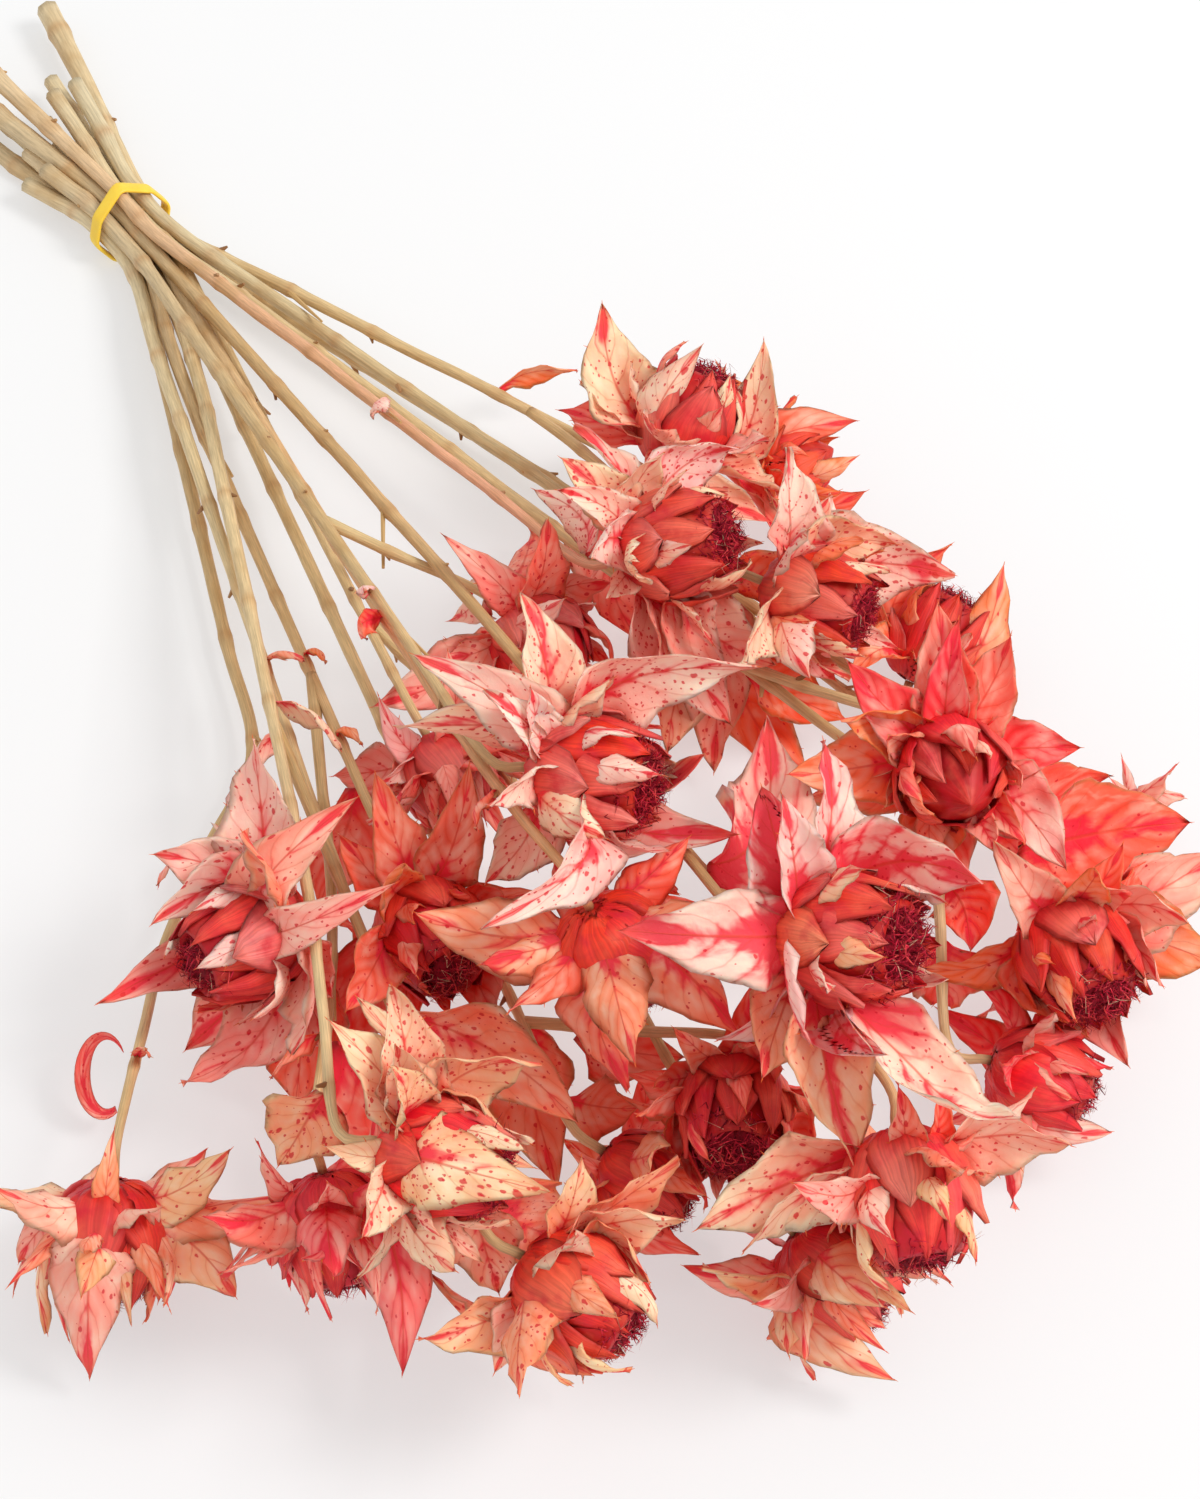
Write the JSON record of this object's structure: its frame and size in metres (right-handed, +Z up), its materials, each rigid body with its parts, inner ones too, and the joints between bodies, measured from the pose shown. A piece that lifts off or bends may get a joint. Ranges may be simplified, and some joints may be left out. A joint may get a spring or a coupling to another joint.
{
  "type": "bunch of safflower stems",
  "caption": "Bunch of dried, dyed safflower stems with leafy flower heads, lying on its side and tied with a rubber band.",
  "frame": {"origin": "on the surface it lies on, under the middle of the bunch's box", "axes": "+X along the bunch from the cut ends to the flower heads, +Z up from the surface"},
  "size_m": [0.4882, 0.3106, 0.1105],
  "materials": {
    "dried_bract": "matte",
    "dried_floret": "matte",
    "straw_stem": "matte",
    "yellow_rubber": "satin"
  },
  "bodies": {
    "root": {"florets_01": "dried_floret", "florets_02": "dried_floret", "florets_04": "dried_floret", "florets_05": "dried_floret", "florets_06": "dried_floret", "florets_07": "dried_floret", "florets_08": "dried_floret", "florets_09": "dried_floret", "florets_10": "dried_floret", "florets_11": "dried_floret", "florets_12": "dried_floret", "florets_13": "dried_floret", "florets_14": "dried_floret", "florets_15": "dried_floret", "florets_16": "dried_floret", "florets_17": "dried_floret", "florets_19": "dried_floret", "florets_20": "dried_floret", "florets_21": "dried_floret", "head_01": "dried_bract", "head_02": "dried_bract", "head_03": "dried_bract", "head_04": "dried_bract", "head_05": "dried_bract", "head_06": "dried_bract", "head_07": "dried_bract", "head_08": "dried_bract", "head_09": "dried_bract", "head_10": "dried_bract", "head_11": "dried_bract", "head_12": "dried_bract", "head_13": "dried_bract", "head_14": "dried_bract", "head_15": "dried_bract", "head_16": "dried_bract", "head_17": "dried_bract", "head_18": "dried_bract", "head_19": "dried_bract", "head_20": "dried_bract", "head_21": "dried_bract", "head_22": "dried_bract", "head_23": "dried_bract", "head_24": "dried_bract", "rubber_band": "yellow_rubber", "stem_01": "straw_stem", "stem_02": "straw_stem", "stem_03": "straw_stem", "stem_04": "straw_stem", "stem_05": "straw_stem", "stem_06": "straw_stem", "stem_07": "straw_stem", "stem_08": "straw_stem", "stem_09": "straw_stem", "stem_10": "straw_stem", "stem_11": "straw_stem", "stem_12": "straw_stem", "stem_13": "straw_stem", "stem_14": "straw_stem"}
  },
  "joints": []
}
